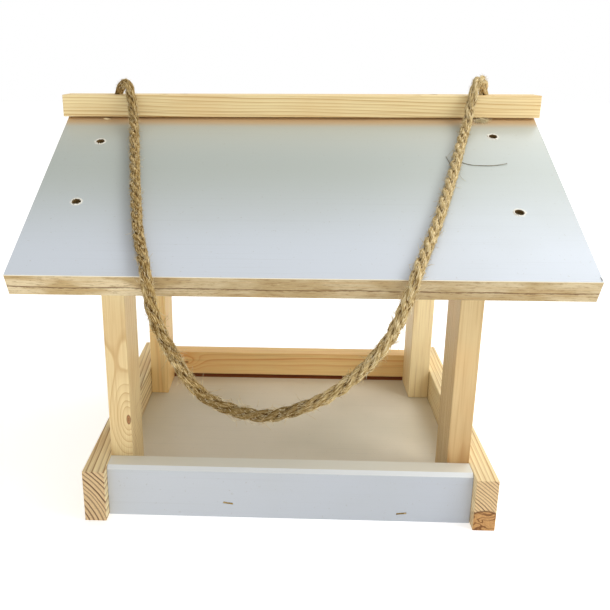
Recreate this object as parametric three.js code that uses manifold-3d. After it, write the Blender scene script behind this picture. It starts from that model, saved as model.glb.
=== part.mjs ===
// Hanging bird feeder: a tray of pine slats with four posts, a gable roof of two white laminated
// boards, a ridge batten and a jute rope. Millimetres, +X to the right, +Y to the back, +Z up.
// The origin is under the middle of the roof, on the surface that the tray stands on.
import * as THREE from 'three';
import { mergeVertices } from 'three/addons/utils/BufferGeometryUtils.js';
import Module from 'manifold-3d';

const wasm = await Module();
wasm.setup();

// ---- Driving dimensions ----

const GAP = 0.3; // between pieces that touch
const SLAT_T = 20; // planed pine slat, thin side
const SLAT_W = 50; // planed pine slat, wide side
const EASE = 0.7; // softened long edges of the slats

const TRAY_W = 370; // over the outer faces of the side rails
const TRAY_D = 324; // length of a side rail
const TRAY_X = -5; // the tray was nailed up this far to the left of the roof
const RECESS = 11; // front board and rear rail, in from the rails' ends
const FRONT_T = 19.7; // laminated front board
const FRONT_CHAMFER = 3.3;
const FLOOR_T = 16;
const FLOOR_UNDER = 0.4; // the floor hangs this far clear of the ground
const REAR_RAIL_H = 29; // a ripped slat, which leaves a slot over the floor
const WIDE_POST = 22.7; // the rear right post is ripped wider than the other three
const RAFTER_END = -150; // upper corner of a front rafter's square-cut end

const ROOF_SLOPE = THREE.MathUtils.degToRad(25.7);
const ROOF_T = 20;
const ROOF_EASE = 0.4;
const ROOF_W = 442; // along the ridge
const ROOF_L = 230; // down the slope
const ROOF_TOP = 348; // upper corners of the two panels
const BATTEN_W = 449;
const BATTEN_D = 30;
const BATTEN_H = 20;

const ROPE_D = 8.4;
const ROPE_HOLE_D = 10.5;
const ROPE_HOLE_X = { left: -173, right: 175 };
const ROPE_HOLE_Y = 2;

const SCREW_HEAD_D = 7.4;
const SCREW_HEAD_H = 3;
const SCREW_RIM = 0.5; // straight rim of the head
const SCREW_SHANK_D = 3.8;
const SCREW_TIP = 4;
const CROSS_SLOT = { length: 4.2, depth: 1.3, width: 0.9, turn: 0.4 };
const CLEAR = 0.3; // round each fastener

// ---- Levels and places that follow ----

const RAIL_IN = TRAY_W / 2 - SLAT_T; // inner face of a side rail
const INNER = RAIL_IN - GAP; // what fits between the side rails
const FRONT_FACE = -TRAY_D / 2 + RECESS;
const FRONT_BACK = FRONT_FACE + FRONT_T;
const FLOOR_TOP = FLOOR_UNDER + FLOOR_T;
const POST_FROM = -FRONT_BACK - GAP; // far side of a post, from the middle
const POST_MID = POST_FROM - SLAT_W / 2;
const REAR_FACE = TRAY_D / 2 - RECESS; // back of the rear rail
const SIN = Math.sin(ROOF_SLOPE);
const COS = Math.cos(ROOF_SLOPE);
const PANEL_CORNER = ROOF_T * SIN + GAP / 2; // upper corner of a panel, from the ridge line
const ROOF_APEX = ROOF_TOP - ROOF_T * COS; // where the undersides meet
const BATTEN_BOTTOM = ROOF_TOP + GAP;

// Height of the roof's underside at a distance from the ridge line.
const underside = (y) => ROOF_APEX - (Math.abs(y) - GAP / 2) * (SIN / COS);

// ---- Materials ----

const finish = (color, roughness, metalness = 0) => () =>
  new THREE.MeshStandardMaterial({ color, roughness, metalness });
const pine = finish(0xe2bd80, 0.6);
const laminate = finish(0xe6e8e6, 0.3);
const jute = finish(0x9a8357, 0.95);
const steel = finish(0x6f6758, 0.45, 0.9);

const feeder = new THREE.Group();
feeder.name = 'bird_feeder';

function add(name, geometry, material, x = 0, y = 0, z = 0) {
  const mesh = new THREE.Mesh(geometry, material());
  mesh.name = name;
  mesh.position.set(x, y, z);
  feeder.add(mesh);
  return mesh;
}

// ---- Solids ----

function toSolid(geometry, matrix) {
  const bare = geometry.clone();
  bare.deleteAttribute('normal');
  bare.deleteAttribute('uv');
  const whole = mergeVertices(bare, 1e-4);
  whole.applyMatrix4(matrix);
  return new wasm.Manifold(new wasm.Mesh({
    numProp: 3,
    vertProperties: new Float32Array(whole.attributes.position.array),
    triVerts: new Uint32Array(whole.index.array),
  }));
}

function toGeometry(solid) {
  const { vertProperties, triVerts } = solid.getMesh();
  const geometry = new THREE.BufferGeometry();
  geometry.setAttribute('position', new THREE.BufferAttribute(vertProperties, 3));
  geometry.setIndex(new THREE.BufferAttribute(triVerts, 1));
  return geometry;
}

// Takes placed cutters, each an Object3D with a geometry, out of a placed mesh.
function drill(mesh, cutters) {
  mesh.updateMatrixWorld();
  const inward = mesh.matrixWorld.clone().invert();
  let solid = toSolid(mesh.geometry, new THREE.Matrix4());
  for (const cutter of cutters) {
    cutter.updateMatrixWorld();
    solid = solid.subtract(toSolid(cutter.geometry, inward.clone().multiply(cutter.matrixWorld)));
  }
  mesh.geometry = toGeometry(solid);
}

// A board of any outline, its edges softened where ease isn't zero, centred on its thickness.
function board(outline, thickness, ease = 0) {
  const shape = new THREE.Shape(outline.map(([u, v]) => new THREE.Vector2(u, v)));
  const geometry = new THREE.ExtrudeGeometry(shape, {
    depth: thickness - 2 * ease,
    bevelEnabled: ease > 0,
    bevelSegments: 2,
    bevelSize: ease,
    bevelThickness: ease,
    bevelOffset: -ease,
    curveSegments: 1,
  });
  return geometry.translate(0, 0, ease - thickness / 2);
}

const oblong = (u, v) => [[-u / 2, -v / 2], [u / 2, -v / 2], [u / 2, v / 2], [-u / 2, v / 2]];

// The outline lies in Y and Z, and the thickness runs along X.
function acrossX(geometry) {
  const axes = [new THREE.Vector3(0, 1, 0), new THREE.Vector3(0, 0, 1), new THREE.Vector3(1, 0, 0)];
  return geometry.applyMatrix4(new THREE.Matrix4().makeBasis(...axes));
}

// The outline lies in X and Z, and the thickness runs along Y.
const acrossY = (geometry) => geometry.rotateX(Math.PI / 2);

// ---- Fasteners ----

// A turned outline with its head's top at the origin and its point down -Y.
function screwOutline(length, grow, above) {
  const head = SCREW_HEAD_D / 2 + grow;
  const shank = SCREW_SHANK_D / 2 + grow;
  const points = [[0, -length - grow], [shank * 0.25, -length - grow],
    [shank, -length + SCREW_TIP], [shank, -SCREW_HEAD_H - grow], [head, -SCREW_RIM - grow],
    [head, above], [0, above]];
  return new THREE.LatheGeometry(points.map(([r, y]) => new THREE.Vector2(r, y)), 16);
}

function screwBody(length) {
  const { length: across, depth, width, turn } = CROSS_SLOT;
  const slot = (angle) => new THREE.BoxGeometry(across, 2 * depth, width).rotateY(angle);
  const identity = new THREE.Matrix4();
  const solid = toSolid(screwOutline(length, 0, 0), identity)
    .subtract(toSolid(slot(turn), identity))
    .subtract(toSolid(slot(turn + Math.PI / 2), identity));
  return toGeometry(solid);
}

const UP = new THREE.Vector3(0, 1, 0);

// A screw whose head is sunk in a face at (x, y, z), where out points away from that face.
// It drills its own hole in each of the pieces.
function screw(name, [x, y, z], out, length, sink, pieces) {
  const outward = new THREE.Vector3(...out).normalize();
  const body = add(name, screwBody(length), steel);
  body.position.set(x, y, z).addScaledVector(outward, -sink);
  body.quaternion.setFromUnitVectors(UP, outward);
  const hole = new THREE.Mesh(screwOutline(length, CLEAR, sink + 2));
  hole.position.copy(body.position);
  hole.quaternion.copy(body.quaternion);
  for (const piece of pieces) drill(piece, [hole]);
}

const STAPLE = { crown: 8.6, wire: 1.2, legs: 30 };

function stapleOutline(grow) {
  const half = STAPLE.crown / 2 + grow;
  const inner = STAPLE.crown / 2 - STAPLE.wire - grow;
  const foot = -STAPLE.legs - grow;
  const under = -STAPLE.wire - grow;
  return [[-half, foot], [-inner, foot], [-inner, under], [inner, under], [inner, foot],
    [half, foot], [half, grow], [-half, grow]];
}

// A staple driven flush with a face; out points away from it, and turn tilts the crown.
function staple(name, [x, y, z], out, turn, pieces) {
  const outward = new THREE.Vector3(...out);
  const crown = new THREE.Vector3(0, 0, 1).cross(outward).negate().applyAxisAngle(outward, turn);
  const side = crown.clone().cross(outward);
  const matrix = new THREE.Matrix4().makeBasis(crown, outward, side).setPosition(x, y, z);
  const body = add(name, board(stapleOutline(0), STAPLE.wire), steel);
  const hole = new THREE.Mesh(board(stapleOutline(CLEAR), STAPLE.wire + 2 * CLEAR));
  for (const object of [body, hole]) {
    matrix.decompose(object.position, object.quaternion, object.scale);
  }
  for (const piece of pieces) drill(piece, [hole]);
}

// ---- Tray ----

const sides = { left: -1, right: 1 };
const rails = {};
for (const [side, sign] of Object.entries(sides)) {
  const geometry = acrossX(board(oblong(TRAY_D, SLAT_W), SLAT_T, EASE));
  rails[side] = add(`side_rail_${side}`, geometry, pine,
    TRAY_X + sign * (RAIL_IN + SLAT_T / 2), 0, SLAT_W / 2);
}

const frontProfile = [[0, 0], [FRONT_T, 0], [FRONT_T, SLAT_W], [FRONT_CHAMFER, SLAT_W],
  [0, SLAT_W - FRONT_CHAMFER]];
const frontBoard = add('front_board', acrossX(board(frontProfile, 2 * INNER)), laminate,
  TRAY_X, FRONT_FACE, 0);

const rearRail = add('rear_rail', acrossY(board(oblong(2 * INNER, REAR_RAIL_H), SLAT_T, EASE)),
  pine, TRAY_X, REAR_FACE - SLAT_T / 2, SLAT_W - REAR_RAIL_H / 2);

const floorD = REAR_FACE - FRONT_BACK - GAP;
const floor = add('floor_board', board(oblong(2 * INNER, floorD), FLOOR_T), laminate,
  TRAY_X, FRONT_BACK + GAP + floorD / 2, FLOOR_UNDER + FLOOR_T / 2);

// ---- Posts and rafters ----

// Outlines in Y and Z for the front; the rear ones are the same, turned about Z.
function postOutline() {
  const foot = FLOOR_TOP + GAP;
  const [near, far] = [-POST_FROM + SLAT_W, -POST_FROM];
  const top = (y) => underside(y) - GAP / COS;
  return [[far, foot], [near, foot], [near, top(near)], [far, top(far)]];
}

function rafterOutline() {
  const top = (y) => underside(y) - GAP / COS;
  const plumb = -GAP; // where the pair meets
  return [[RAFTER_END, top(RAFTER_END)],
    [RAFTER_END + SLAT_W * SIN, top(RAFTER_END) - SLAT_W * COS],
    [plumb, top(plumb) - SLAT_W / COS], [plumb, top(plumb)]];
}

const posts = {};
const rafters = {};
for (const [side, sign] of Object.entries(sides)) {
  for (const row of ['front', 'rear']) {
    const turned = row === 'rear' ? Math.PI : 0;
    const postW = side === 'right' && row === 'rear' ? WIDE_POST : SLAT_T;
    const post = add(`post_${row}_${side}`, acrossX(board(postOutline(), postW, EASE)), pine,
      TRAY_X + sign * (INNER - postW / 2), 0, 0);
    const rafter = add(`rafter_${row}_${side}`, acrossX(board(rafterOutline(), SLAT_T, EASE)), pine,
      TRAY_X + sign * (RAIL_IN + SLAT_T / 2), 0, 0);
    post.rotation.z = turned;
    rafter.rotation.z = turned;
    posts[`${row}_${side}`] = post;
    rafters[`${row}_${side}`] = rafter;
  }
}

// ---- Roof ----

const panels = {};
for (const [row, sign] of [['front', -1], ['rear', 1]]) {
  const panel = add(`roof_panel_${row}`, board(oblong(ROOF_W, ROOF_L), ROOF_T, ROOF_EASE), laminate);
  panel.rotation.x = -sign * ROOF_SLOPE;
  const along = ROOF_L / 2;
  panel.position.set(0,
    sign * (PANEL_CORNER + along * COS - (ROOF_T / 2) * SIN),
    ROOF_TOP - along * SIN - (ROOF_T / 2) * COS);
  panels[row] = panel;
}

const batten = add('ridge_batten', acrossY(board(oblong(BATTEN_W, BATTEN_H), BATTEN_D, EASE)), pine,
  0, 0, BATTEN_BOTTOM + BATTEN_H / 2);
drill(batten, Object.values(ROPE_HOLE_X).map((x) => {
  const bore = new THREE.CylinderGeometry(ROPE_HOLE_D / 2, ROPE_HOLE_D / 2, 2 * BATTEN_H, 24);
  const hole = new THREE.Mesh(bore);
  hole.position.set(x, ROPE_HOLE_Y, batten.position.z);
  hole.rotation.x = Math.PI / 2;
  return hole;
}));

// ---- Screws and staples ----

const ROOF_SCREW = { length: 40, sink: 2.6 };
// Place of each: across, and down the slope from the panel's upper corner.
const ROOF_SCREWS = {
  front: { left: [[-182, 44.6], [-185, 137.5]], right: [[177, 33.4], [177.4, 147.3]] },
  rear: { left: [[-184, 42], [-183, 141]], right: [[175, 38], [173, 139]] },
};
for (const [row, sign] of [['front', -1], ['rear', 1]]) {
  for (const side of Object.keys(sides)) {
    ROOF_SCREWS[row][side].forEach(([x, down], i) => {
      const at = [x, sign * (PANEL_CORNER + down * COS), ROOF_TOP - down * SIN];
      const name = `screw_roof_${row}_${side}_${i ? 'lower' : 'upper'}`;
      screw(name, at, [0, sign * SIN, COS], ROOF_SCREW.length, ROOF_SCREW.sink,
        [panels[row], rafters[`${row}_${side}`]]);
    });
  }
}

const SIDE_SCREW = { post: 34, end: 40, sink: 0.5 };
const POST_SCREW_Z = 33;
const FRONT_SCREW_Z = 31;
const REAR_SCREW_Z = 35;
const SIDE_STAPLE = { y: 62, z: 9, tilt: 0.12 };
for (const [side, sign] of Object.entries(sides)) {
  const out = [sign, 0, 0];
  const face = TRAY_X + sign * (TRAY_W / 2);
  for (const [row, away] of [['front', -1], ['rear', 1]]) {
    const y = away * POST_MID;
    const rafterMid = underside(y) - SLAT_W / 2 / COS;
    const key = `${row}_${side}`;
    screw(`screw_post_${key}`, [face, y, POST_SCREW_Z], out, SIDE_SCREW.post, SIDE_SCREW.sink,
      [rails[side], posts[key]]);
    screw(`screw_rafter_${key}`, [face, y, rafterMid], out, SIDE_SCREW.post, SIDE_SCREW.sink,
      [rafters[key], posts[key]]);
    staple(`staple_side_${key}`, [face, away * SIDE_STAPLE.y, SIDE_STAPLE.z], out,
      away * SIDE_STAPLE.tilt, [rails[side], floor]);
  }
  screw(`screw_front_board_${side}`, [face, FRONT_FACE + FRONT_T / 2, FRONT_SCREW_Z], out,
    SIDE_SCREW.end, SIDE_SCREW.sink, [rails[side], frontBoard]);
  screw(`screw_rear_rail_${side}`, [face, REAR_FACE - SLAT_T / 2, REAR_SCREW_Z], out,
    SIDE_SCREW.end, SIDE_SCREW.sink, [rails[side], rearRail]);
}

staple('staple_front_left', [-59.7, FRONT_FACE, 14.6], [0, -1, 0], -0.15, [frontBoard, floor]);
staple('staple_front_right', [98, FRONT_FACE, 8.1], [0, -1, 0], 0.12, [frontBoard, floor]);

const BATTEN_SCREW = { x: 120, stagger: 9, y: 6.3, length: 38, sink: 0.5 };
for (const [side, sign] of Object.entries(sides)) {
  for (const [row, away] of [['front', -1], ['rear', 1]]) {
    const at = [sign * BATTEN_SCREW.x + away * BATTEN_SCREW.stagger, away * BATTEN_SCREW.y,
      BATTEN_BOTTOM + BATTEN_H];
    screw(`screw_batten_${row}_${side}`, at, [0, 0, 1], BATTEN_SCREW.length, BATTEN_SCREW.sink,
      [batten, panels[row]]);
  }
}

// ---- Rope ----

// From the left hole in the batten over its front edge, down the roof, over the eave, through
// the hanging bight and back up to the right hole.
const ROPE_ROUTE = [
  [-173, 2, 348.3], [-173, 2, 358], [-173, 2, 368], [-171.4, -0.6, 373.8], [-167.6, -5.6, 377.2],
  [-163.2, -11.6, 378.3], [-159.6, -17.2, 375.2], [-157.5, -20.9, 368.6], [-156, -23, 360.4],
  [-153.8, -31.6, 346.2], [-149.4, -54.2, 332.1], [-137.9, -117, 301.8], [-126.4, -172.6, 275],
  [-118.7, -200, 261.9], [-115.5, -211, 257.2], [-113.2, -219.2, 252.3], [-111.4, -222.8, 245],
  [-106.5, -223.4, 217], [-93.6, -223.4, 188.6], [-79.4, -223.4, 164.2], [-62.2, -223.4, 149.6],
  [-24.4, -223.4, 139.4], [17.2, -223.4, 153], [37, -223.4, 167.4], [54.6, -223.4, 185],
  [70, -223.4, 208.8], [82.2, -222.8, 243.5], [85.5, -219.2, 252.3], [88.7, -211, 257.2],
  [93.3, -200, 261.9], [103.8, -175, 273.8], [126, -114.9, 302.8], [146, -54.2, 332.1],
  [154.4, -31, 345.8], [158, -22.8, 360.4], [160.4, -20, 370], [163, -15.6, 378.4],
  [167.6, -9.6, 382.2], [172, -3.3, 379.4], [174.5, 1, 372.4], [175, 2, 367.6], [175, 2, 358],
  [175, 2, 348.3],
];

const route = new THREE.CatmullRomCurve3(ROPE_ROUTE.map((p) => new THREE.Vector3(...p)));
const section = new THREE.Shape();
section.absarc(0, 0, ROPE_D / 2, 0, 2 * Math.PI);
add('hanging_rope', new THREE.ExtrudeGeometry(section, {
  extrudePath: route,
  steps: 80,
  curveSegments: 6,
  bevelEnabled: false,
}), jute);

// The rope's ends are knotted in the groove between the panels, under the batten.
const KNOT = { along: 12, round: 5.2 };
const knotZ = ROOF_APEX - GAP / 2 / Math.tan(ROOF_SLOPE) + (KNOT.round + 0.4) / SIN;
for (const [side, x] of Object.entries(ROPE_HOLE_X)) {
  const knot = new THREE.SphereGeometry(1, 20, 12).scale(KNOT.along, KNOT.round, KNOT.round);
  add(`rope_knot_${side}`, knot, jute, x, 0, knotZ);
}

export default feeder;
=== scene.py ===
import bpy
import math
import random
from mathutils import Matrix, Vector, noise


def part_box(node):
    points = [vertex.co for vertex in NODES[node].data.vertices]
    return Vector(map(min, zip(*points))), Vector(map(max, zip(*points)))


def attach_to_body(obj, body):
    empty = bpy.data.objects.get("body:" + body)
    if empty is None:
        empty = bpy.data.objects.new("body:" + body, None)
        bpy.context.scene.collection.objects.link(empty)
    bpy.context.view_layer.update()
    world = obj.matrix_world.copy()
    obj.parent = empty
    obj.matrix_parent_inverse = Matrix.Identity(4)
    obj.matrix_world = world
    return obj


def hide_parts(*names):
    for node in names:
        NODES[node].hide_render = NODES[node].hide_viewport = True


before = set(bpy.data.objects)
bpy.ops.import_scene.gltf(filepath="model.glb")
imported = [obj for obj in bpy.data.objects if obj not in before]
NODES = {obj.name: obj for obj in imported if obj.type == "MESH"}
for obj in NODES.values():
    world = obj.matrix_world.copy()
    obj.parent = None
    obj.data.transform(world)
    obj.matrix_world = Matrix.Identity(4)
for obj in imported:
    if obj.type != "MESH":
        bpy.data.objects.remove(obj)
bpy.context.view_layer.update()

ROOT = "root"
MM = 0.001


def rgb(r, g, b):
    """A colour given as display values from 0 to 255, as linear light."""
    def one(c):
        c /= 255
        return c / 12.92 if c <= 0.04045 else ((c + 0.055) / 1.055) ** 2.4
    return (one(r), one(g), one(b), 1.0)


# ---- Camera ----

cam_data = bpy.data.cameras.new("camera")
cam = bpy.data.objects.new("camera", cam_data)
bpy.context.scene.collection.objects.link(cam)
cam.location = (-0.007968, -0.758676, 0.405713)
cam.rotation_euler = (math.radians(71.807), 0, math.radians(2.577))
cam_data.sensor_width = 36
cam_data.lens = 45.2
cam_data.shift_x = 0.0825
cam_data.clip_start = 0.02
bpy.context.scene.camera = cam


# ---- Helpers for meshes ----

def new_object(name, verts, faces, material):
    mesh = bpy.data.meshes.new(name)
    mesh.from_pydata([tuple(v) for v in verts], [], faces)
    mesh.validate()
    mesh.update()
    for poly in mesh.polygons:
        poly.use_smooth = True
    mesh.materials.append(material)
    obj = bpy.data.objects.new(name, mesh)
    bpy.context.scene.collection.objects.link(obj)
    return obj


def catmull(points, step):
    """A centripetal Catmull-Rom curve through the points, sampled about every step metres."""
    pts = [Vector(p) for p in points]
    pts = [2 * pts[0] - pts[1]] + pts + [2 * pts[-1] - pts[-2]]
    out = []
    for i in range(1, len(pts) - 2):
        p0, p1, p2, p3 = pts[i - 1:i + 3]
        t0 = 0.0
        t1 = t0 + math.sqrt(max((p1 - p0).length, 1e-9))
        t2 = t1 + math.sqrt(max((p2 - p1).length, 1e-9))
        t3 = t2 + math.sqrt(max((p3 - p2).length, 1e-9))
        count = max(2, int((p2 - p1).length / step) + 1)
        for k in range(count):
            t = t1 + (t2 - t1) * k / count
            a1 = (t1 - t) / (t1 - t0) * p0 + (t - t0) / (t1 - t0) * p1
            a2 = (t2 - t) / (t2 - t1) * p1 + (t - t1) / (t2 - t1) * p2
            a3 = (t3 - t) / (t3 - t2) * p2 + (t - t2) / (t3 - t2) * p3
            b1 = (t2 - t) / (t2 - t0) * a1 + (t - t0) / (t2 - t0) * a2
            b2 = (t3 - t) / (t3 - t1) * a2 + (t - t1) / (t3 - t1) * a3
            out.append((t2 - t) / (t2 - t1) * b1 + (t - t1) / (t2 - t1) * b2)
    out.append(pts[-2].copy())
    return out


def resample(points, step):
    """The same line, in equal steps."""
    total = length_of(points)
    count = max(2, round(total / step))
    each, out, i, done = total / count, [points[0].copy()], 0, 0.0
    for k in range(1, count):
        want = each * k
        while done + (points[i + 1] - points[i]).length < want:
            done += (points[i + 1] - points[i]).length
            i += 1
        part = (want - done) / (points[i + 1] - points[i]).length
        out.append(points[i].lerp(points[i + 1], part))
    out.append(points[-1].copy())
    return out


def length_of(points):
    return sum((b - a).length for a, b in zip(points, points[1:]))


def circle(count):
    """The angles of that many points spread evenly round a circle."""
    return [2 * math.pi * i / count for i in range(count)]


def held(value):
    """The value, kept between 0 and 1."""
    return max(0.0, min(1.0, value))


def frames(points, first=Vector((1, 0, 0))):
    """Two cross directions at each point, carried along the line without twisting."""
    tangents = []
    for i in range(len(points)):
        a, b = points[max(i - 1, 0)], points[min(i + 1, len(points) - 1)]
        tangents.append((b - a).normalized())
    u = (first - first.dot(tangents[0]) * tangents[0]).normalized()
    out = []
    for i, t in enumerate(tangents):
        if i:
            u = tangents[i - 1].rotation_difference(t) @ u
        u = (u - u.dot(t) * t).normalized()
        out.append((t, u, t.cross(u)))
    return out


class Mesh:
    """Vertices and faces in the making, with one vector and one number kept for each vertex."""

    def __init__(self):
        self.verts, self.faces, self.lay, self.crevice_shade = [], [], [], []

    def rings(self, rings, caps=True):
        """Joins equal rings of (place, lay, crevice_shade) into a closed tube; crevice_shade is
        the amount of painted shade in a crevice.
        """
        base, n = len(self.verts), len(rings[0])
        for ring in rings:
            for place, lay, crevice_shade in ring:
                self.verts.append(place)
                self.lay.append(lay)
                self.crevice_shade.append(crevice_shade)
        for i in range(len(rings) - 1):
            for j in range(n):
                a, b = base + i * n + j, base + i * n + (j + 1) % n
                self.faces.append((a, b, b + n, a + n))
        if caps:
            self.faces.append(tuple(base + j for j in reversed(range(n))))
            last = base + (len(rings) - 1) * n
            self.faces.append(tuple(last + j for j in range(n)))

    def bare(self, rings, caps=True):
        """The same from rings of places alone, for a material that needs neither lay nor deep."""
        self.rings([[(p, (0, 0, 0), 0.0) for p in ring] for ring in rings], caps)

    def make(self, name, material):
        obj = new_object(name, self.verts, self.faces, material)
        lay = obj.data.attributes.new("lay", "FLOAT_VECTOR", "POINT")
        lay.data.foreach_set("vector", [c for v in self.lay for c in v])
        crevice_shade = obj.data.attributes.new("crevice_shade", "FLOAT", "POINT")
        crevice_shade.data.foreach_set("value", self.crevice_shade)
        return obj


def attach(obj):
    """Fixes a piece to the feeder's one body."""
    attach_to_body(obj, ROOT)


# ---- Helpers for materials ----

class Graph:
    """A material with one Principled shader, and short names for the nodes that feed it."""

    def __init__(self, name, roughness=0.6, specular=0.5):
        self.mat = bpy.data.materials.new(name)
        self.mat.use_nodes = True
        self.tree = self.mat.node_tree
        self.tree.nodes.clear()
        self.out = self.node("ShaderNodeOutputMaterial")
        self.bsdf = self.node("ShaderNodeBsdfPrincipled")
        self.bsdf.inputs["Roughness"].default_value = roughness
        self.bsdf.inputs["Specular IOR Level"].default_value = specular
        self.tree.links.new(self.bsdf.outputs[0], self.out.inputs["Surface"])
        self._xyz = None

    def node(self, kind, **props):
        made = self.tree.nodes.new(kind)
        for key, value in props.items():
            setattr(made, key, value)
        return made

    def put(self, socket, value):
        if isinstance(value, bpy.types.NodeSocket):
            self.tree.links.new(value, socket)
        elif value is not None:
            socket.default_value = value

    def math(self, op, a, b=None, clamp=False):
        made = self.node("ShaderNodeMath", operation=op, use_clamp=clamp)
        for socket, value in zip(made.inputs, (a, b)):
            self.put(socket, value)
        return made.outputs[0]

    def sum(self, *terms):
        total = terms[0]
        for term in terms[1:]:
            total = self.math("ADD", total, term)
        return total

    def times(self, *terms):
        total = terms[0]
        for term in terms[1:]:
            total = self.math("MULTIPLY", total, term)
        return total

    def minus(self, a, b):
        return self.math("SUBTRACT", a, b)

    def sway(self, texture, reach):
        """A texture about its mean, as a shift that is reach long from one end to the other."""
        return self.times(self.minus(texture, 0.5), reach)

    def place(self):
        """The row-frame place as one vector and as x, y and z in metres, and the normal."""
        if self._xyz is None:
            coords = self.node("ShaderNodeTexCoord")
            split = self.node("ShaderNodeSeparateXYZ")
            self.put(split.inputs[0], coords.outputs["Object"])
            self._xyz = (coords.outputs["Object"], *split.outputs[:3], coords.outputs["Normal"])
        return self._xyz

    def vector(self, x, y, z):
        made = self.node("ShaderNodeCombineXYZ")
        for socket, value in zip(made.inputs, (x, y, z)):
            self.put(socket, value)
        return made.outputs[0]

    def along(self, vector, direction):
        made = self.node("ShaderNodeVectorMath", operation="DOT_PRODUCT")
        self.put(made.inputs[0], vector)
        made.inputs[1].default_value = direction
        return made.outputs["Value"]

    def stretch(self, vector, scale, move=(0, 0, 0)):
        made = self.node("ShaderNodeMapping")
        self.put(made.inputs["Vector"], vector)
        made.inputs["Scale"].default_value = scale
        made.inputs["Location"].default_value = move
        return made.outputs[0]

    def noise(self, vector, detail=2.0, rough=0.5, distortion=0.0):
        made = self.node("ShaderNodeTexNoise")
        self.put(made.inputs["Vector"], vector)
        made.inputs["Scale"].default_value = 1.0
        made.inputs["Detail"].default_value = detail
        made.inputs["Roughness"].default_value = rough
        made.inputs["Distortion"].default_value = distortion
        return made.outputs["Fac"]

    def smooth(self, value, low, high, to=(0.0, 1.0)):
        made = self.node("ShaderNodeMapRange", interpolation_type="SMOOTHSTEP")
        for socket, v in zip(made.inputs, (value, low, high, *to)):
            self.put(socket, v)
        return made.outputs[0]

    def ramp(self, value, stops):
        made = self.node("ShaderNodeValToRGB")
        self.put(made.inputs[0], value)
        elements = made.color_ramp.elements
        while len(elements) < len(stops):
            elements.new(0.5)
        for element, (at, colour) in zip(elements, stops):
            element.position = at
            element.color = colour if len(colour) == 4 else (*colour, 1)
        return made.outputs[0]

    def mix(self, factor, a, b):
        made = self.node("ShaderNodeMix", data_type="RGBA", blend_type="MIX")
        made.clamp_factor = True
        self.put(made.inputs[0], factor)
        self.put(made.inputs[6], a)
        self.put(made.inputs[7], b)
        return made.outputs[2]

    def bump(self, height, strength, distance):
        made = self.node("ShaderNodeBump")
        made.inputs["Strength"].default_value = strength
        made.inputs["Distance"].default_value = distance
        self.put(made.inputs["Height"], height)
        return made.outputs[0]

    def finish(self, colour, normal=None, roughness=None):
        self.put(self.bsdf.inputs["Base Color"], colour)
        self.put(self.bsdf.inputs["Normal"], normal)
        self.put(self.bsdf.inputs["Roughness"], roughness)
        return self.mat


# ---- Roof plane ----

SLOPE = math.radians(25.7)
PANEL_T = 0.020
PANEL_GAP = 0.00015  # half the gap between the panels
ROOF_TOP = 0.348  # height of the panels' upper corners
CORNER_OUT = PANEL_T * math.sin(SLOPE) + PANEL_GAP  # the same corners, from the ridge line
FRONT_OUT = Vector((0, -math.sin(SLOPE), math.cos(SLOPE)))
FRONT_DOWN = Vector((0, -math.cos(SLOPE), -math.sin(SLOPE)))
FRONT_CORNER = Vector((0, -CORNER_OUT, ROOF_TOP))


# ---- Rope ----

ROPE_D = 8.4 * MM
ROPE_ROUTE = [
    (-173, 2, 348.3), (-173, 2, 358), (-173, 2, 368), (-171.4, -0.6, 373.8),
    (-167.6, -5.6, 377.2), (-163.2, -11.6, 378.3), (-159.6, -17.2, 375.2),
    (-157.5, -20.9, 368.6), (-156, -23, 360.4), (-153.8, -31.6, 346.2), (-149.4, -54.2, 332.1),
    (-137.9, -117, 301.8), (-126.4, -172.6, 275), (-118.7, -200, 261.9), (-115.5, -211, 257.2),
    (-113.2, -219.2, 252.3), (-111.4, -222.8, 245), (-106.5, -223.4, 217),
    (-93.6, -223.4, 188.6), (-79.4, -223.4, 164.2), (-62.2, -223.4, 149.6),
    (-24.4, -223.4, 139.4), (17.2, -223.4, 153), (37, -223.4, 167.4), (54.6, -223.4, 185),
    (70, -223.4, 208.8), (82.2, -222.8, 243.5), (85.5, -219.2, 252.3), (88.7, -211, 257.2),
    (93.3, -200, 261.9), (103.8, -175, 273.8), (126, -114.9, 302.8), (146, -54.2, 332.1),
    (154.4, -31, 345.8), (158, -22.8, 360.4), (160.4, -20, 370), (163, -15.6, 378.4),
    (167.6, -9.6, 382.2), (172, -3.3, 379.4), (174.5, 1, 372.4), (175, 2, 367.6),
    (175, 2, 358), (175, 2, 348.3),
]
STRAND_TURN = 0.042  # length of one turn of the strands
YARN_TURN = 0.080  # length of one turn of the yarns in a strand, the other way
STRANDS = 3
STRAND_R = 2.58 * MM
STRAND_OUT = 2.30 * MM  # middle of a strand from the middle of the rope
ROPE_STEP = 0.65 * MM
STRAND_SIDES = 20
ROPE_CLEAR = 0.1 * MM  # from the roof panel
EAVE_Z = 0.262  # where the rope leaves the roof
BATTEN_Z = 0.366  # where it starts to bend over the batten
RIDGE_OUT, EAVE_OUT = 0.0095, 0.214  # the stretch of panel under the rope, from the ridge line
UNDER_ROOF_Z = 0.24

LIGHT_JUTE = rgb(214, 190, 138)
MID_JUTE = rgb(168, 139, 86)
# The darkest jute tone, which also paints the shade in the crevices.
JUTE_DARK_AND_SHADE = rgb(94, 64, 24)


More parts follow.
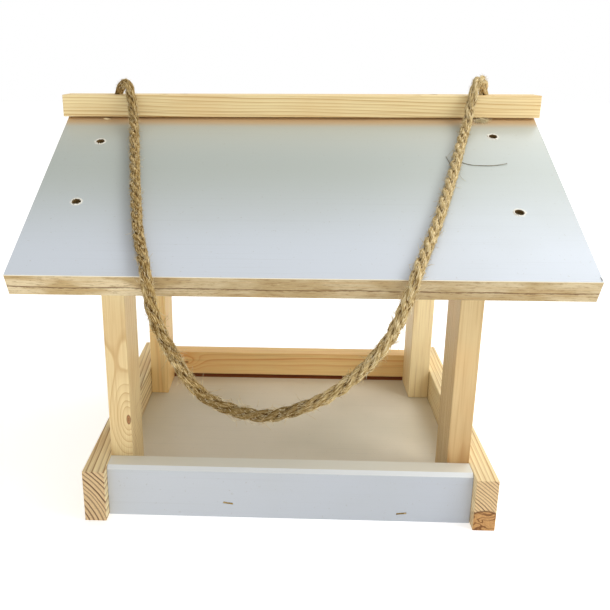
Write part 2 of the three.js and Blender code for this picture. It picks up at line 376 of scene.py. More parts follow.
def jute():
    """Jute: fine fibres along each strand, with olive patches, and painted shade that darkens the
    crevices. It is painted lighter towards the right, as painted light, and painted darker where
    the bight hangs lowest, as painted shade."""
    g = Graph("jute_strands", roughness=0.95, specular=0.06)
    lay = g.node("ShaderNodeAttribute", attribute_name="lay").outputs["Vector"]
    crevice_shade = g.node("ShaderNodeAttribute", attribute_name="crevice_shade").outputs["Fac"]
    fibres = g.noise(g.stretch(lay, (3600, 3600, 240)), 3.0, 0.65)
    coarse = g.noise(g.stretch(lay, (1300, 1300, 190), (3, 1, 7)), 2.0, 0.6)
    patch = g.noise(g.stretch(lay, (120, 120, 45), (1, 5, 2)), 2.0)
    x, z = g.place()[1], g.place()[3]
    # Painted light: the jute is painted lighter towards the right, where the key light falls.
    key_side_light = g.smooth(x, -0.10, 0.13, (-0.05, 0.10))
    tone = g.sum(g.times(fibres, 0.95), g.times(coarse, 0.95), -0.45, key_side_light)
    colour = g.ramp(tone, [(0.30, JUTE_DARK_AND_SHADE), (0.46, MID_JUTE), (0.61, LIGHT_JUTE),
                           (0.78, rgb(242, 228, 190))])
    colour = g.mix(g.smooth(patch, 0.50, 0.72, (0, 0.35)), colour, rgb(138, 118, 68))
    # Painted shade: darker where the bight hangs lowest, left of the middle.
    bight_shade = g.times(g.smooth(z, 0.146, 0.170, (0.65, 0.0)), g.smooth(x, -0.01, 0.03, (1.0, 0.0)))
    colour = g.mix(bight_shade, colour, rgb(96, 74, 36))
    # Painted shade in the crevices between yarns and strands.
    colour = g.mix(g.smooth(crevice_shade, 0.18, 0.80, (0, 0.92)), colour, JUTE_DARK_AND_SHADE)
    height = g.sum(g.times(fibres, 0.6), coarse)
    return g.finish(colour, g.bump(height, 0.5, 0.6 * MM))


def mottled(name, scale, detail, stops, **shine):
    """A plain surface whose colour wanders along the stops."""
    g = Graph(name, **shine)
    tone = g.noise(g.stretch(g.place()[0], (scale, scale, scale)), detail)
    return g.finish(g.ramp(tone, stops))


rope_mat = jute()
hair_mat = mottled("jute_fibres", 260, 1.0, [
    (0.3, rgb(168, 138, 84)), (0.5, rgb(222, 200, 150)), (0.7, rgb(250, 240, 208))],
    roughness=0.85, specular=0.2)
# The tuft's fibres are painted paler than the rope's other fibres, as painted light where they
# stick out into the batten's shadow.
tuft_painted_light = Graph("painted_pale_jute", roughness=0.85, specular=0.2).finish(rgb(255, 244, 208))


def fullness(p):
    """The rope is pulled thinner over the roof, and is fuller where it hangs."""
    hang = held((EAVE_Z - p.z) / (30 * MM))
    return 0.95 + 0.10 * hang


def strand(mesh, line, axes, start_angle, seed, turn=STRAND_TURN, core_out=STRAND_OUT,
           core_r=STRAND_R):
    """One strand laid round a line: four yarns, twisted the other way, with a rough surface."""
    rings = []
    for i, (p, (_, u, v)) in enumerate(zip(line, axes)):
        s = i * ROPE_STEP
        tight = held((p.z - BATTEN_Z) / (8 * MM))  # closed up where it bends over the batten
        calm = 1 - 0.6 * tight
        out = core_out * fullness(p) * (1 - 0.16 * tight)
        radius = core_r * fullness(p) * (1 + 0.08 * tight)
        wander = 0.35 * noise.noise(Vector((s * 60, seed, 0)))
        angle = start_angle - 2 * math.pi * s / turn + wander
        loose = 1 + 0.14 * calm * noise.noise(Vector((s * 45, seed, 3)))
        centre_u, centre_v = math.cos(angle) * out * loose, math.sin(angle) * out * loose
        swell = 1 + 0.14 * calm * noise.noise(Vector((s * 90, seed, 9)))
        ring = []
        for phi in circle(STRAND_SIDES):
            own = phi - 2 * math.pi * s / YARN_TURN
            cu, cv = math.cos(own), math.sin(own)
            yarn = abs(math.sin(2.0 * own + 0.9 * noise.noise(Vector((s * 70, seed, 5)))))
            slack = 0.75 + 0.9 * noise.noise(Vector((cu * 1.5, cv * 1.5, s * 110 + seed)))
            groove = (1 - yarn) ** 2.2 * max(0.15, slack)
            rough = noise.noise(Vector((cu * 3.2, cv * 3.2, s * 260 + seed)))
            r = radius * swell * (1 - 0.24 * groove + 0.13 * rough)
            du, dv = centre_u + r * math.cos(phi), centre_v + r * math.sin(phi)
            far = math.hypot(du, dv) / (out + radius)
            # crevice_shade: painted shade, darkest in the yarns' grooves and towards the rope's
            # core.
            crevice_shade = held(groove + 2.0 * (0.76 - far) - 0.6 * rough)
            lay = (math.cos(own) * radius + seed, math.sin(own) * radius, s)
            ring.append((clear_of_roof(p + u * du + v * dv), lay, crevice_shade))
        rings.append(ring)
    mesh.rings(rings)


def clear_of_roof(p):
    """Where the rope presses on the front roof panel, it is flattened against the panel."""
    if -EAVE_OUT < p.y < -RIDGE_OUT and p.z > UNDER_ROOF_Z:
        over = (p - FRONT_CORNER).dot(FRONT_OUT)
        if over < ROPE_CLEAR:
            return p + FRONT_OUT * (ROPE_CLEAR - over)
    return p


rope_line = resample(catmull([Vector(p) * MM for p in ROPE_ROUTE], 0.5 * MM), ROPE_STEP)
rope_axes = frames(rope_line)
rope = Mesh()
for k, start_angle in enumerate(circle(STRANDS)):
    strand(rope, rope_line, rope_axes, start_angle, 11.0 * k)
rope_obj = rope.make("hanging_rope_strands", rope_mat)
attach(rope_obj)
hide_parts("hanging_rope")


def hair(mesh, start, way, length, bend, thick, rng, parts=5):
    """One loose fibre, thinning to its tip."""
    p, d = start.copy(), way.normalized()
    axis = Vector((rng.uniform(-1, 1), rng.uniform(-1, 1), rng.uniform(-1, 1))).normalized()
    rings = []
    for i in range(parts + 1):
        side = d.orthogonal().normalized()
        up = d.cross(side)
        r = thick * (1 - 0.6 * i / parts)
        rings.append([clear_of_roof(p + r * (math.cos(a) * side + math.sin(a) * up))
                      for a in circle(3)])
        d = (Matrix.Rotation(bend / parts, 3, axis) @ d).normalized()
        p = p + d * (length / parts)
    mesh.bare(rings)


def anywhere(rng):
    """A place on the rope, as a part of its length."""
    return rng.uniform(0.03, 0.97)


def frayed(rng):
    """The same, more often where the rope is frayed most."""
    return rng.choice((anywhere(rng), rng.gauss(0.62, 0.035), rng.gauss(0.385, 0.03),
                       rng.gauss(0.47, 0.03)))


def hairs_on_rope(name, rng, count, where, lengths, lift=(0.2, 1.0), thick=(0.10, 0.17),
                  bends=1.8, parts=5):
    """Fibres that leave the rope's surface along its length. Lengths and thickness are in mm."""
    mesh = Mesh()
    for _ in range(count):
        i = min(int(where(rng) * (len(rope_line) - 1)), len(rope_line) - 2)
        t, u, v = rope_axes[i]
        a = rng.uniform(0, 2 * math.pi)
        out = math.cos(a) * u + math.sin(a) * v
        along = t * rng.choice((-1, 1))
        way = along * rng.uniform(0.7, 1.6) + out * rng.uniform(*lift)
        way += out.cross(t) * rng.uniform(-0.6, 0.6)
        start = rope_line[i] + out * ROPE_D * rng.uniform(0.46, 0.54)
        length = rng.uniform(*lengths) * (0.4 + 0.6 * rng.random()) * MM
        hair(mesh, start, way, length, rng.uniform(-bends, bends), rng.uniform(*thick) * MM, rng,
             parts)
    obj = mesh.make(name, hair_mat)
    attach(obj)
    return obj


rng = random.Random(7)
nap = hairs_on_rope("rope_nap", rng, 5200, anywhere, (2.5, 6.5), lift=(-0.05, 0.22),
                    thick=(0.08, 0.17), bends=0.7, parts=3)
fuzz = hairs_on_rope("rope_fuzz", rng, 3000, anywhere, (2.0, 6.0))
strays = hairs_on_rope("rope_stray_fibres", rng, 520, frayed, (6.0, 15.0), thick=(0.16, 0.25))

KNOT_TURNS = 2.6
KNOT_POINTS = 64
KNOT_TURN = 0.018  # length of one turn of the strands in the knot
KNOT_STRAND = 1.05 * MM


def knot(name, node, sign):
    """A knot under the batten: turns of thin rope, drawn round the rope's end."""
    low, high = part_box(node)
    centre, half = (low + high) / 2, (high - low) / 2
    points = []
    for i in range(KNOT_POINTS):
        t = i / (KNOT_POINTS - 1)
        a = KNOT_TURNS * 2 * math.pi * t
        x = (t - 0.5) * 1.25 * half.x
        r = (half.y - 2 * KNOT_STRAND) * (0.55 + 0.45 * math.sin(math.pi * t)) * 1.15
        points.append(centre + Vector((x * sign, r * math.cos(a), r * math.sin(a))))
    line = resample(points, ROPE_STEP)
    mesh = Mesh()
    axes = frames(line, Vector((0, 0, 1)))
    for k, start_angle in enumerate(circle(STRANDS)):
        strand(mesh, line, axes, start_angle, 5.0 + k, KNOT_TURN, KNOT_STRAND, KNOT_STRAND)
    obj = mesh.make(name, rope_mat)
    attach(obj)
    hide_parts(node)
    return obj


def tuft():
    """Fibres of the right knot that stick out from under the batten."""
    mesh = Mesh()
    for _ in range(150):
        start = Vector((rng.uniform(0.166, 0.176), rng.uniform(-0.0162, -0.0135),
                        rng.uniform(0.3442, 0.3475)))
        way = Vector((rng.uniform(-1.3, 1.3), rng.uniform(-1.5, -0.3), rng.uniform(-0.5, 0.5)))
        hair(mesh, start, way, rng.uniform(2.5, 7.0) * MM, rng.uniform(-1.6, 1.6),
             rng.uniform(0.13, 0.22) * MM, rng)
    obj = mesh.make("rope_end_tuft", tuft_painted_light)
    attach(obj)
    return obj


knots = [knot("rope_end_knot_left", "rope_knot_left", -1),
         knot("rope_end_knot_right", "rope_knot_right", 1)]
tuft_obj = tuft()


# ---- Wood ----

AXES = {"X": (1, 2, 3), "Y": (2, 1, 3), "Z": (3, 1, 2)}  # grain, then the two across it
UNIT = {"X": (1, 0, 0), "Y": (0, 1, 0), "Z": (0, 0, 1)}
RING_BEND = 5.0 * MM  # how far the growth rings wander
KNOT_RING = 1.1 * MM  # one ring in a knot's core
EARLY = rgb(240, 215, 160)
LATE = rgb(196, 152, 92)
PORE = rgb(176, 128, 70)


def with_grain(grain, along, across):
    """A texture's scale, drawn out along the grain."""
    return tuple(along if letter == grain else across for letter in "XYZ")


def pine(name, grain, pith, spacing=3.6, tilt=(0.0, 0.0), early=EARLY, late=LATE, depth=1.0,
         sharp=0.72, wobble=1.0, knots=(), seed=0.0, end_dark=0.45, tint=None, patch=None):
    """Planed pine. Growth rings stand round the pith, a line along the grain at pith across it,
    in mm, so faces and end grain agree. A knot is (place along the grain, place across it, core,
    spread, stretch along the grain, pull on the rings, across the second direction or not). A
    patch is the middle and the reach of a resinous brown area of the end grain."""
    g = Graph(name, roughness=0.55, specular=0.35)
    at, normal = g.place()[0], g.place()[4]
    along, ca, cb = (g.place()[k] for k in AXES[grain])
    slow = with_grain(grain, 5.0, 42.0)
    swirl = g.noise(g.stretch(at, slow, (seed, seed * 2, 1)), 2.0)
    swirl2 = g.noise(g.stretch(at, slow, (4, seed, seed + 3)), 2.0)
    bend = RING_BEND * wobble
    da = g.sum(ca, -pith[0] * MM, g.times(along, tilt[0]), g.sway(swirl, bend))
    db = g.sum(cb, -pith[1] * MM, g.times(along, tilt[1]), g.sway(swirl2, bend))
    radius = g.math("SQRT", g.sum(g.times(da, da), g.times(db, db)))
    cores = []
    for l0, c0, size, spread, stretched, pull, second in knots:
        dl = g.times(g.minus(along, l0 * MM), 1.0 / stretched)
        dc = g.minus(cb if second else ca, c0 * MM)
        away = g.math("SQRT", g.sum(g.times(dl, dl), g.times(dc, dc)))
        away = g.math("ADD", away, g.sway(swirl, 2.0 * MM))
        q = g.times(away, 1.0 / (spread * MM))
        radius = g.math("ADD", radius, g.times(g.math("EXPONENT", g.times(q, q, -1.0)), pull * MM))
        mask = g.smooth(away, size * 0.75 * MM, size * MM, (1.0, 0.0))
        cores.append((mask, g.math("SINE", g.times(away, 2 * math.pi / KNOT_RING))))
    uneven = g.noise(g.vector(g.times(radius, 95.0), seed, 0.0), 1.0)
    count = g.math("ADD", g.times(radius, 1.0 / (spacing * MM)), g.times(uneven, 1.3))
    phase = g.math("FRACT", count)
    which_ring = g.noise(g.vector(g.times(g.math("FLOOR", count), 3.7), seed, 2.0), 0.0)
    strength = g.times(g.smooth(which_ring, 0.25, 0.7, (0.45, 1.0)), depth)
    band = g.ramp(phase, [(0.0, (0, 0, 0)), (sharp * 0.45, (0.08, 0.08, 0.08)),
                          (sharp, (0.40, 0.40, 0.40)), (sharp + 0.12, (1, 1, 1)),
                          (0.95, (0.9, 0.9, 0.9)), (1.0, (0.0, 0.0, 0.0))])
    fine = g.noise(g.stretch(at, with_grain(grain, 14.0, 900.0), (seed, 0, seed)), 3.0, 0.6)
    streak = g.noise(g.stretch(at, with_grain(grain, 4.0, 260.0), (0, seed, 5)), 3.0, 0.6)
    blotch = g.noise(g.stretch(at, (14.0, 14.0, 14.0), (seed, 3, 2)), 2.0)
    colour = g.mix(g.times(band, strength), early, late)
    colour = g.mix(g.smooth(fine, 0.45, 0.72, (0.0, 0.34)), colour, late)
    colour = g.mix(g.smooth(streak, 0.50, 0.75, (0.0, 0.30)), colour, PORE)
    colour = g.mix(g.smooth(blotch, 0.40, 0.70, (0.0, 0.30)), colour, tint or rgb(232, 190, 128))
    for mask, rings in cores:
        inner = g.mix(g.smooth(rings, -0.9, 0.9), rgb(176, 112, 56), rgb(128, 74, 34))
        colour = g.mix(g.times(mask, 0.85), colour, inner)
    end = g.smooth(g.math("ABSOLUTE", g.along(normal, UNIT[grain])), 0.75, 0.9)
    grit = g.noise(g.stretch(at, (900, 900, 900)), 3.0, 0.65)
    late_end = g.smooth(phase, 0.50, 0.74)
    late_end = g.times(late_end, g.smooth(phase, 0.90, 0.99, (1.0, 0.0)), strength)
    end_tone = g.mix(late_end, rgb(226, 196, 148), rgb(92, 54, 24))
    end_tone = g.mix(g.smooth(grit, 0.42, 0.7, (0, end_dark)), end_tone, rgb(140, 92, 48))
    if patch:
        off = [g.times(g.minus(axis, m * MM), 1.0 / (r * MM))
               for axis, m, r in zip(g.place()[1:4], *patch)]
        off = g.math("SQRT", g.sum(*(g.times(o, o) for o in off)))
        inside = g.smooth(g.math("ADD", off, g.sway(swirl2, 0.3)), 0.60, 0.68, (1.0, 0.0))
        eddy = g.noise(g.stretch(at, (62, 62, 130), (seed, 1, 4)), 1.0, 0.5, 0.6)
        eddies = g.math("SINE", g.times(eddy, 34.0))
        brown = g.mix(g.smooth(eddies, 0.2, 0.98), rgb(204, 156, 96), rgb(118, 74, 32))
        brown = g.mix(g.smooth(grit, 0.35, 0.7, (0, 0.6)), brown, rgb(150, 100, 48))
        rim = g.times(g.smooth(off, 0.56, 0.62), g.smooth(off, 0.64, 0.70, (1.0, 0.0)))
        brown = g.mix(g.times(rim, 0.6), brown, rgb(84, 48, 18))
        end_tone = g.mix(inside, end_tone, brown)
        colour = g.mix(g.times(inside, 0.35), colour, brown)
    colour = g.mix(end, colour, end_tone)
    height = g.sum(g.times(band, -0.5), g.times(fine, 0.9), g.times(end, grit, 1.2))
    rough = g.smooth(fine, 0.3, 0.8, (0.46, 0.68))
    return g.finish(colour, g.bump(height, 0.35, 0.4 * MM), rough)


def wear(material, *nodes):
    """Gives CAD nodes a material, on the object and not on its mesh."""
    for name in nodes:
        obj = NODES[name]
        for i in range(max(1, len(obj.data.materials))):
            obj.material_slots[i].link = "OBJECT"
            obj.material_slots[i].material = material


# name, grain, pith (mm), and what is particular to the piece
wear(pine("pine_rail_left", "Y", (-250, -28), 3.7, (0.012, 0.02), depth=1.15, seed=1.0,
          early=rgb(255, 236, 186), late=rgb(158, 116, 66), wobble=0.5, end_dark=0.3),
     "side_rail_left")
wear(pine("pine_rail_right", "Y", (84, -66), 2.7, (-0.02, 0.012), depth=0.95, seed=2.3,
          early=rgb(250, 232, 184), late=rgb(190, 146, 88), wobble=0.5, end_dark=0.25,
          patch=((170, -163, 6), (26, 22, 22))), "side_rail_right")
wear(pine("pine_post_front_left", "Z", (-160, 30), 4.6, (0.03, 0.05), depth=0.85, seed=3.1,
          knots=((87, -151.6, 2.0, 12.0, 2.5, -26.0, False),), wobble=1.2, sharp=0.8,
          early=rgb(246, 222, 168)),
     "post_front_left")
wear(pine("pine_post_front_right", "Z", (150, -40), 2.1, (0.004, 0.01), depth=1.1, seed=4.4,
          early=rgb(226, 200, 148), late=rgb(170, 122, 66), tint=rgb(226, 178, 116)),
     "post_front_right")
# The rear-left post's pine is painted paler than the other pieces, as painted light against the
# roof's shade.
wear(pine("pine_post_rear_left", "Z", (-176, 40), 5.5, (0.01, 0.02), depth=0.5, seed=5.2,
          early=rgb(255, 224, 158), late=rgb(230, 172, 104),
          tint=rgb(255, 208, 140)), "post_rear_left")
wear(pine("pine_post_rear_right", "Z", (130, 210), 6.0, (0.004, 0.01), depth=0.45, seed=6.7,
          early=rgb(255, 234, 184)), "post_rear_right")
# The rear rail's pine is painted paler too, as painted light against the roof's shade.
wear(pine("pine_rear_rail", "X", (190, 20), 2.4, (0.004, 0.01), depth=0.85, seed=7.5,
          early=rgb(255, 222, 156), late=rgb(222, 150, 86), tint=rgb(255, 204, 136),
          knots=((-134, 36, 1.6, 9.0, 1.8, 7.0, True),)), "rear_rail")
wear(pine("pine_batten", "X", (-20, 322), 3.0, (0.0, 0.022), depth=1.0, seed=8.8,
          early=rgb(252, 232, 178), late=rgb(204, 162, 96), wobble=1.5), "ridge_batten")
for i, side in enumerate(("left", "right")):
    for k, row in enumerate(("front", "rear")):
        name = f"rafter_{row}_{side}"
        slope = (0.01, -0.48 if k else 0.48)
        wear(pine(f"pine_{name}", "Y", (-150 + 300 * i, 240 + 30 * k), 3.4, slope, depth=0.8,
                  seed=10.0 + 2 * i + k), name)


# ---- Laminate ----

def laminate(name, face, tone, tone_far, edge=rgb(226, 208, 168),
             line=None, roughness=0.3, seed=0.0, holes=(), slope=None, fade=None, wrapped=False,
             slot_shade_from=None, tone_mid=None):
    """White laminate on a board: fine scratches and a little dirt on the faces, raw wood on the
    edges. face is the unit normal of the laminated faces. The tone changes down the slope at the
    places of fade, as painted light and painted reflection, with a painted warm reflection and
    shade of the batten before the first. line is the height of a dark glue line in the edges. A
    wrapped board also has laminate on its top and its bevel, painted paler than its front as
    painted light, and behind slot_shade_from the face is painted dark brown, as painted shade in
    the slot under the rear rail. Places are in mm."""
    g = Graph(name, roughness=roughness, specular=0.5)
    at, x, y, _, normal = g.place()
    covered = g.smooth(g.math("ABSOLUTE", g.along(normal, face)), 0.80, 0.92)
    through = g.along(at, face)
    cloud = g.noise(g.stretch(at, (9, 9, 9), (seed, 0, 1)), 3.0)
    scratch = g.noise(g.stretch(at, (5.0, 620.0, 620.0), (seed, 2, 0)), 4.0, 0.7)
    speck = g.noise(g.stretch(at, (420, 420, 420), (seed, 1, 1)), 1.0)
    if fade:
        down = g.along(at, slope)
        if tone_mid:
            tone = g.mix(g.smooth(down, fade[0] * MM, fade[1] * MM), tone, tone_mid)
        colour = g.mix(g.smooth(down, fade[1] * MM, fade[2] * MM), tone, tone_far)
        # Painted warm reflection and shade of the batten, in a band along the top of the slope.
        warm = g.math("ADD", down, g.sway(cloud, 3.0 * MM))
        colour = g.mix(g.smooth(warm, fade[0] * MM, (fade[0] + 13) * MM, (0.85, 0.0)), colour,
                       rgb(208, 172, 122))
    else:
        colour = g.mix(g.smooth(cloud, 0.35, 0.65), tone, tone_far)
    colour = g.mix(g.smooth(cloud, 0.45, 0.7, (0, 0.10)), colour, rgb(176, 178, 166))
    colour = g.mix(g.smooth(scratch, 0.54, 0.74, (0, 0.16)), colour, rgb(168, 172, 170))
    colour = g.mix(g.smooth(speck, 0.70, 0.80, (0, 0.25)), colour, rgb(150, 142, 120))
    if wrapped:
        # The bevel and the top are painted paler than the front face, as painted light on faces
        # that look up.
        up = g.along(normal, (0, 0, 1))
        colour = g.mix(g.smooth(up, 0.35, 0.5), colour, rgb(232, 236, 238))
        colour = g.mix(g.smooth(up, 0.85, 0.95), colour, rgb(230, 227, 214))
        covered = g.math("MAXIMUM", covered, g.smooth(up, 0.3, 0.45))
    # raw wood in layers, with torn grain between them
    layers = g.noise(g.vector(g.times(x, 9.0), seed, g.times(through, 900.0)), 3.0, 0.6)
    flecks = g.noise(g.stretch(at, (120, 760, 760), (3, seed, 0)), 4.0, 0.7)
    mottle = g.noise(g.stretch(at, (22, 60, 60), (seed, 7, 0)), 2.0)
    raw = g.mix(g.smooth(mottle, 0.40, 0.62), edge, rgb(190, 164, 114))
    if line is not None:
        # Painted shade: the raw edge is painted darker from the middle to the right, where the
        # roof and the rope shade it.
        eave_shade = g.times(g.smooth(x, -0.14, -0.06), g.smooth(x, 0.10, 0.24, (0.5, 0.25)))
        raw = g.mix(eave_shade, raw, rgb(164, 144, 104))
    raw = g.mix(g.smooth(layers, 0.45, 0.68, (0, 0.45)), raw, rgb(186, 146, 88))
    raw = g.mix(g.smooth(flecks, 0.50, 0.66, (0, 0.60)), raw, rgb(138, 106, 58))
    raw = g.mix(g.smooth(flecks, 0.26, 0.40, (0.55, 0.0)), raw, rgb(238, 222, 184))
    if line is not None:
        wave = g.times(g.minus(g.sum(mottle, g.times(flecks, 0.5)), 0.75), 3.4 * MM)
        off = g.math("ABSOLUTE", g.sum(through, -line * MM, wave))
        thick = g.smooth(flecks, 0.3, 0.7, (0.3 * MM, 1.5 * MM))
        glue = g.math("SUBTRACT", 1.0, g.math("DIVIDE", off, thick, clamp=True), clamp=True)
        raw = g.mix(glue, raw, rgb(104, 70, 28))
        lip = g.smooth(through, (line + 11.0) * MM, (line + 11.3) * MM)
        raw = g.mix(lip, raw, rgb(242, 236, 214))
    colour = g.mix(covered, raw, colour)
    # Under the rear rail the floor's face is painted dark brown, as painted shade in the slot.
    if slot_shade_from is not None:
        bare = g.times(g.smooth(y, slot_shade_from * MM, (slot_shade_from + 0.6) * MM), covered)
        colour = g.mix(bare, colour, rgb(150, 84, 24))
    for place in holes:
        near = g.node("ShaderNodeVectorMath", operation="DISTANCE")
        g.put(near.inputs[0], at)
        near.inputs[1].default_value = place
        near = near.outputs["Value"]
        away = g.math("ADD", near, g.sway(speck, 2.0 * MM))
        colour = g.mix(g.smooth(away, 4.4 * MM, 6.2 * MM, (0.75, 0.0)), colour, rgb(240, 238, 226))
        # The dark ring at the hole's mouth is painted shade, and the wall inside is raw wood
        # painted darker than the edges, as painted shade in the hole.
        colour = g.mix(g.smooth(near, 3.75 * MM, 4.1 * MM, (1.0, 0.0)), colour, rgb(84, 66, 38))
        mouth = Vector(place).dot(Vector(face))
        wall = g.smooth(through, mouth - 0.6 * MM, mouth - 0.2 * MM, (1.0, 0.0))
        wall = g.times(wall, g.smooth(near, 5.2 * MM, 5.8 * MM, (1.0, 0.0)))
        colour = g.mix(wall, colour, rgb(124, 98, 56))
    rough = g.sum(g.smooth(scratch, 0.4, 0.8, (roughness, roughness + 0.16)),
                  g.smooth(covered, 0.0, 1.0, (0.35, 0.0)))
    if slot_shade_from is not None:
        rough = g.math("MAXIMUM", rough, bare)
    height = g.sum(g.times(scratch, 0.2), g.times(cloud, 0.4),
                   g.times(g.minus(1.0, covered), g.sum(layers, flecks), 1.2))
    return g.finish(colour, g.bump(height, 0.18, 0.4 * MM), rough)


# Each screw in a roof panel: across, and down the slope from the panel's upper corner, in mm.
ROOF_SCREWS = {
    "front": ((-182, 44.6), (-185, 137.5), (177, 33.4), (177.4, 147.3)),
    "rear": ((-184, 42), (-183, 141), (175, 38), (173, 139)),
}
BURR_IN, BURR_CREST, BURR_FOOT = 3.95, 4.02, 4.12  # radii of a burr, before its raggedness
BURR_SIDES = 44
burr_mat = mottled("torn_laminate", 900, 2.0, [
    (0.3, rgb(200, 186, 152)), (0.5, rgb(240, 238, 228)), (0.8, rgb(250, 250, 246))],
    roughness=0.5)


def burr(mesh, middle, across, down, out):
    """A ragged raised ring where a screw tore the laminate."""
    phase = rng.uniform(0, 6.28)
    rings = []
    for a in circle(BURR_SIDES) + [0.0]:
        key = Vector((math.cos(a + phase) * 1.6, math.sin(a + phase) * 1.6, phase))
        ragged, fine = noise.noise(key), noise.noise(key * 4.0)
        width = max(0.3, 0.85 + 0.95 * ragged + 0.45 * fine)
        tall = max(0.05, 0.36 + 0.40 * ragged + 0.30 * fine)
        lean = BURR_IN - max(0.0, 0.9 * fine)
        way = math.cos(a) * across + math.sin(a) * down
        profile = ((lean, -0.25), (lean + 0.10, tall), (BURR_CREST + width * 0.45, tall * 0.75),
                   (BURR_FOOT + width, -0.06))
        rings.append([middle + way * r * MM + out * h * MM for r, h in profile])
    mesh.bare(rings, caps=False)


for row, sign in (("front", -1), ("rear", 1)):
    out = Vector((0, sign * math.sin(SLOPE), math.cos(SLOPE)))
    down = Vector((0, sign * math.cos(SLOPE), -math.sin(SLOPE)))
    across = Vector((1, 0, 0))
    top = Vector((0, sign * CORNER_OUT, ROOF_TOP))
    holes = [top + down * d * MM + across * x * MM for x, d in ROOF_SCREWS[row]]
    depth0, at0 = top.dot(out) / MM, top.dot(down) / MM
    # Each panel is painted grey-green near the ridge and pale blue-white at the eave, as painted
    # reflection, with the batten's painted warm reflection and shade along the top.
    wear(laminate(f"laminate_roof_{row}", tuple(out), rgb(188, 191, 180), rgb(205, 212, 221),
                  tone_mid=rgb(176, 183, 177), line=depth0 - 12.0, roughness=0.28,
                  seed=2.0 + sign, holes=[tuple(h) for h in holes], slope=tuple(down),
                  fade=(at0 + 7, at0 + 80, at0 + 215)), f"roof_panel_{row}")
    burrs = Mesh()
    for hole in holes:
        burr(burrs, hole, across, down, out)
    attach(burrs.make(f"torn_laminate_{row}", burr_mat))
# The front board is painted darker towards the right, as painted shade.
wear(laminate("laminate_front", (0, 1, 0), rgb(202, 207, 213), rgb(186, 192, 201),
              edge=rgb(236, 230, 212), roughness=0.34, seed=4.0, wrapped=True, slope=(1, 0, 0),
              fade=(-400, -170, 170)), "front_board")
# The floor is painted dark under the rear rail, as painted shade.
wear(laminate("laminate_floor", (0, 0, 1), rgb(226, 216, 196), rgb(218, 208, 186),
              roughness=0.38, seed=6.0, slot_shade_from=130.8), "floor_board")


def splinter():
    """A splinter that sticks out from under the batten's left end."""
    start, way = Vector((-0.1865, -0.0142, 0.3463)), Vector((1, 0.1, -0.05)).normalized()
    long, parts = 7.5 * MM, 8
    rings = []
    for i in range(parts + 1):
        t = i / parts
        middle = start + way * long * t
        size = (0.35 + 0.95 * math.sin(math.pi * min(1.0, t * 1.15)) ** 0.8) * MM
        ring = []
        for a in circle(8):
            rough = noise.noise(Vector((t * 5, math.cos(a) * 2, math.sin(a) * 2)))
            r = size * (1 + 0.35 * rough)
            ring.append(middle + Vector((0, -math.cos(a) * r, math.sin(a) * r * 0.75)))
        rings.append(ring)
    mesh = Mesh()
    mesh.bare(rings)
    wood = pine("pine_chip", "X", (-20, 322), 1.4, seed=9.5, early=rgb(248, 230, 184),
                late=rgb(214, 180, 122))
    attach(mesh.make("wood_chip", wood))


def lying(mesh, points, thick):
    """A loose fibre that lies on the front roof panel, through (across, down, lift) in mm."""
    line = resample(catmull([FRONT_CORNER + Vector((x * MM, 0, 0)) + FRONT_DOWN * d * MM
                             + FRONT_OUT * (thick + lift * MM)
                             for x, d, lift in points], 0.8 * MM), 1.2 * MM)
    mesh.bare([[p + thick * (math.cos(a) * u + math.sin(a) * v) for a in circle(5)]
               for p, (_, u, v) in zip(line, frames(line, Vector((0, 0, 1))))])


splinter()
loose = Mesh()
lying(loose, [(138.6, 73, 0.3), (143, 76.5, 0.1), (150, 80, 0.1), (160, 81, 0.2), (170, 80.5, 0.1),
              (181, 78, 0.4)], 0.26 * MM)
lying(loose, [(129.7, 67, 0.3), (131, 74, 0.1), (132.7, 82.7, 0.2)], 0.20 * MM)
lying(loose, [(219.5, 225.0, 0.1), (220, 227, 0.1), (219.8, 229, 0.2)], 0.18 * MM)
loose_mat = mottled("loose_fibre", 200, 1.0, [(0.3, rgb(96, 88, 66)), (0.7, rgb(150, 140, 110))],
                    roughness=0.8)
attach(loose.make("loose_fibres", loose_mat))


# ---- Metal ----

def metal(name, colour, dark, roughness):
    g = Graph(name, roughness=roughness)
    g.bsdf.inputs["Metallic"].default_value = 1.0
    worn = g.noise(g.stretch(g.place()[0], (700, 700, 700)), 3.0, 0.6)
    tone = g.mix(g.smooth(worn, 0.4, 0.65), colour, dark)
    rough = g.smooth(worn, 0.3, 0.7, (roughness, roughness + 0.25))
    return g.finish(tone, g.bump(worn, 0.2, 0.1 * MM), rough)


screw_mat = metal("screw_phosphated", rgb(176, 158, 118), rgb(92, 78, 54), 0.35)
staple_mat = metal("staple_wire", rgb(190, 164, 108), rgb(112, 90, 50), 0.3)
wear(screw_mat, *[n for n in NODES if n.startswith("screw_")])
wear(staple_mat, *[n for n in NODES if n.startswith("staple_")])


# ---- Stage and light ----

LEFT_LIGHT, RIGHT_LIGHT = 0.50, 0.95

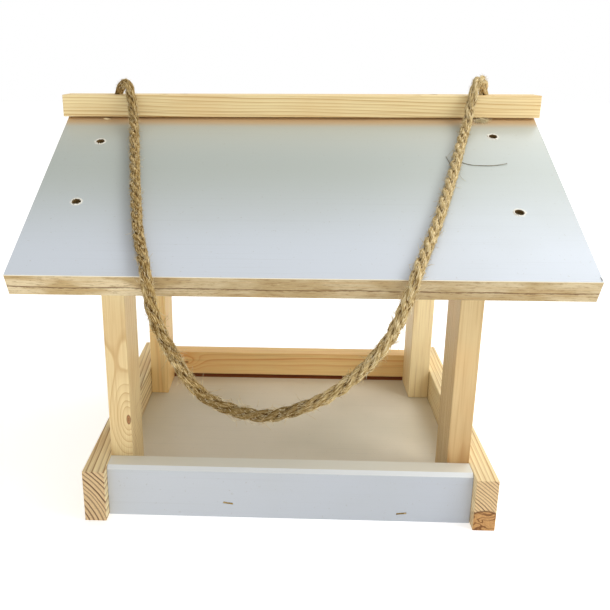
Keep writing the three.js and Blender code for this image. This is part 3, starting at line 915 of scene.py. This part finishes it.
stage = bpy.data.materials.new("stage_white")
floor_mesh = new_object("stage_floor", [(-6, -6, 0), (6, -6, 0), (6, 6, 0), (-6, 6, 0)],
                        [(0, 1, 2, 3)], stage)
stage.use_nodes = True
shader = stage.node_tree.nodes["Principled BSDF"]
shader.inputs["Base Color"].default_value = (0.86, 0.86, 0.86, 1)
shader.inputs["Roughness"].default_value = 0.9
shader.inputs["Specular IOR Level"].default_value = 0.1
shader.inputs["Emission Color"].default_value = (1, 1, 1, 1)
shader.inputs["Emission Strength"].default_value = 0.50

# The room is white behind the object. Its light is stronger from the right than from the left.
world = bpy.data.worlds.new("world")
bpy.context.scene.world = world
world.use_nodes = True
sky = world.node_tree
room_light = sky.nodes["Background"]
side = sky.nodes.new("ShaderNodeSeparateXYZ")
sky.links.new(sky.nodes.new("ShaderNodeTexCoord").outputs["Generated"], side.inputs[0])
level = sky.nodes.new("ShaderNodeMapRange")
for socket, value in zip(level.inputs[1:], (-1.0, 1.0, LEFT_LIGHT, RIGHT_LIGHT)):
    socket.default_value = value
sky.links.new(side.outputs[0], level.inputs[0])
sky.links.new(level.outputs[0], room_light.inputs[1])
room_light.inputs[0].default_value = (1.0, 0.985, 0.96, 1)
backdrop = sky.nodes.new("ShaderNodeBackground")
backdrop.inputs[0].default_value = (1, 1, 1, 1)
either = sky.nodes.new("ShaderNodeMixShader")
sky.links.new(sky.nodes.new("ShaderNodeLightPath").outputs["Is Camera Ray"], either.inputs[0])
sky.links.new(room_light.outputs[0], either.inputs[1])
sky.links.new(backdrop.outputs[0], either.inputs[2])
sky.links.new(either.outputs[0], sky.nodes["World Output"].inputs["Surface"])
bpy.context.scene.view_settings.view_transform = "Standard"


def soft_light(name, place, aim, size, power, colour=(1, 1, 1)):
    data = bpy.data.lights.new(name, "AREA")
    data.shape = "RECTANGLE"
    data.size, data.size_y = size
    data.energy = power
    data.color = colour
    obj = bpy.data.objects.new(name, data)
    bpy.context.scene.collection.objects.link(obj)
    obj.location = place
    obj.rotation_mode = "QUATERNION"
    obj.rotation_quaternion = (Vector(aim) - Vector(place)).to_track_quat("-Z", "Y")


soft_light("key", (0.85, -0.42, 0.95), (0.1, -0.1, 0.3), (0.45, 0.45), 4.0, (1.0, 0.985, 0.96))
soft_light("sheen", (0.95, 0.72, 1.8), (0.1, -0.1, 0.3), (0.9, 1.1), 10.0, (0.93, 0.97, 1.0))
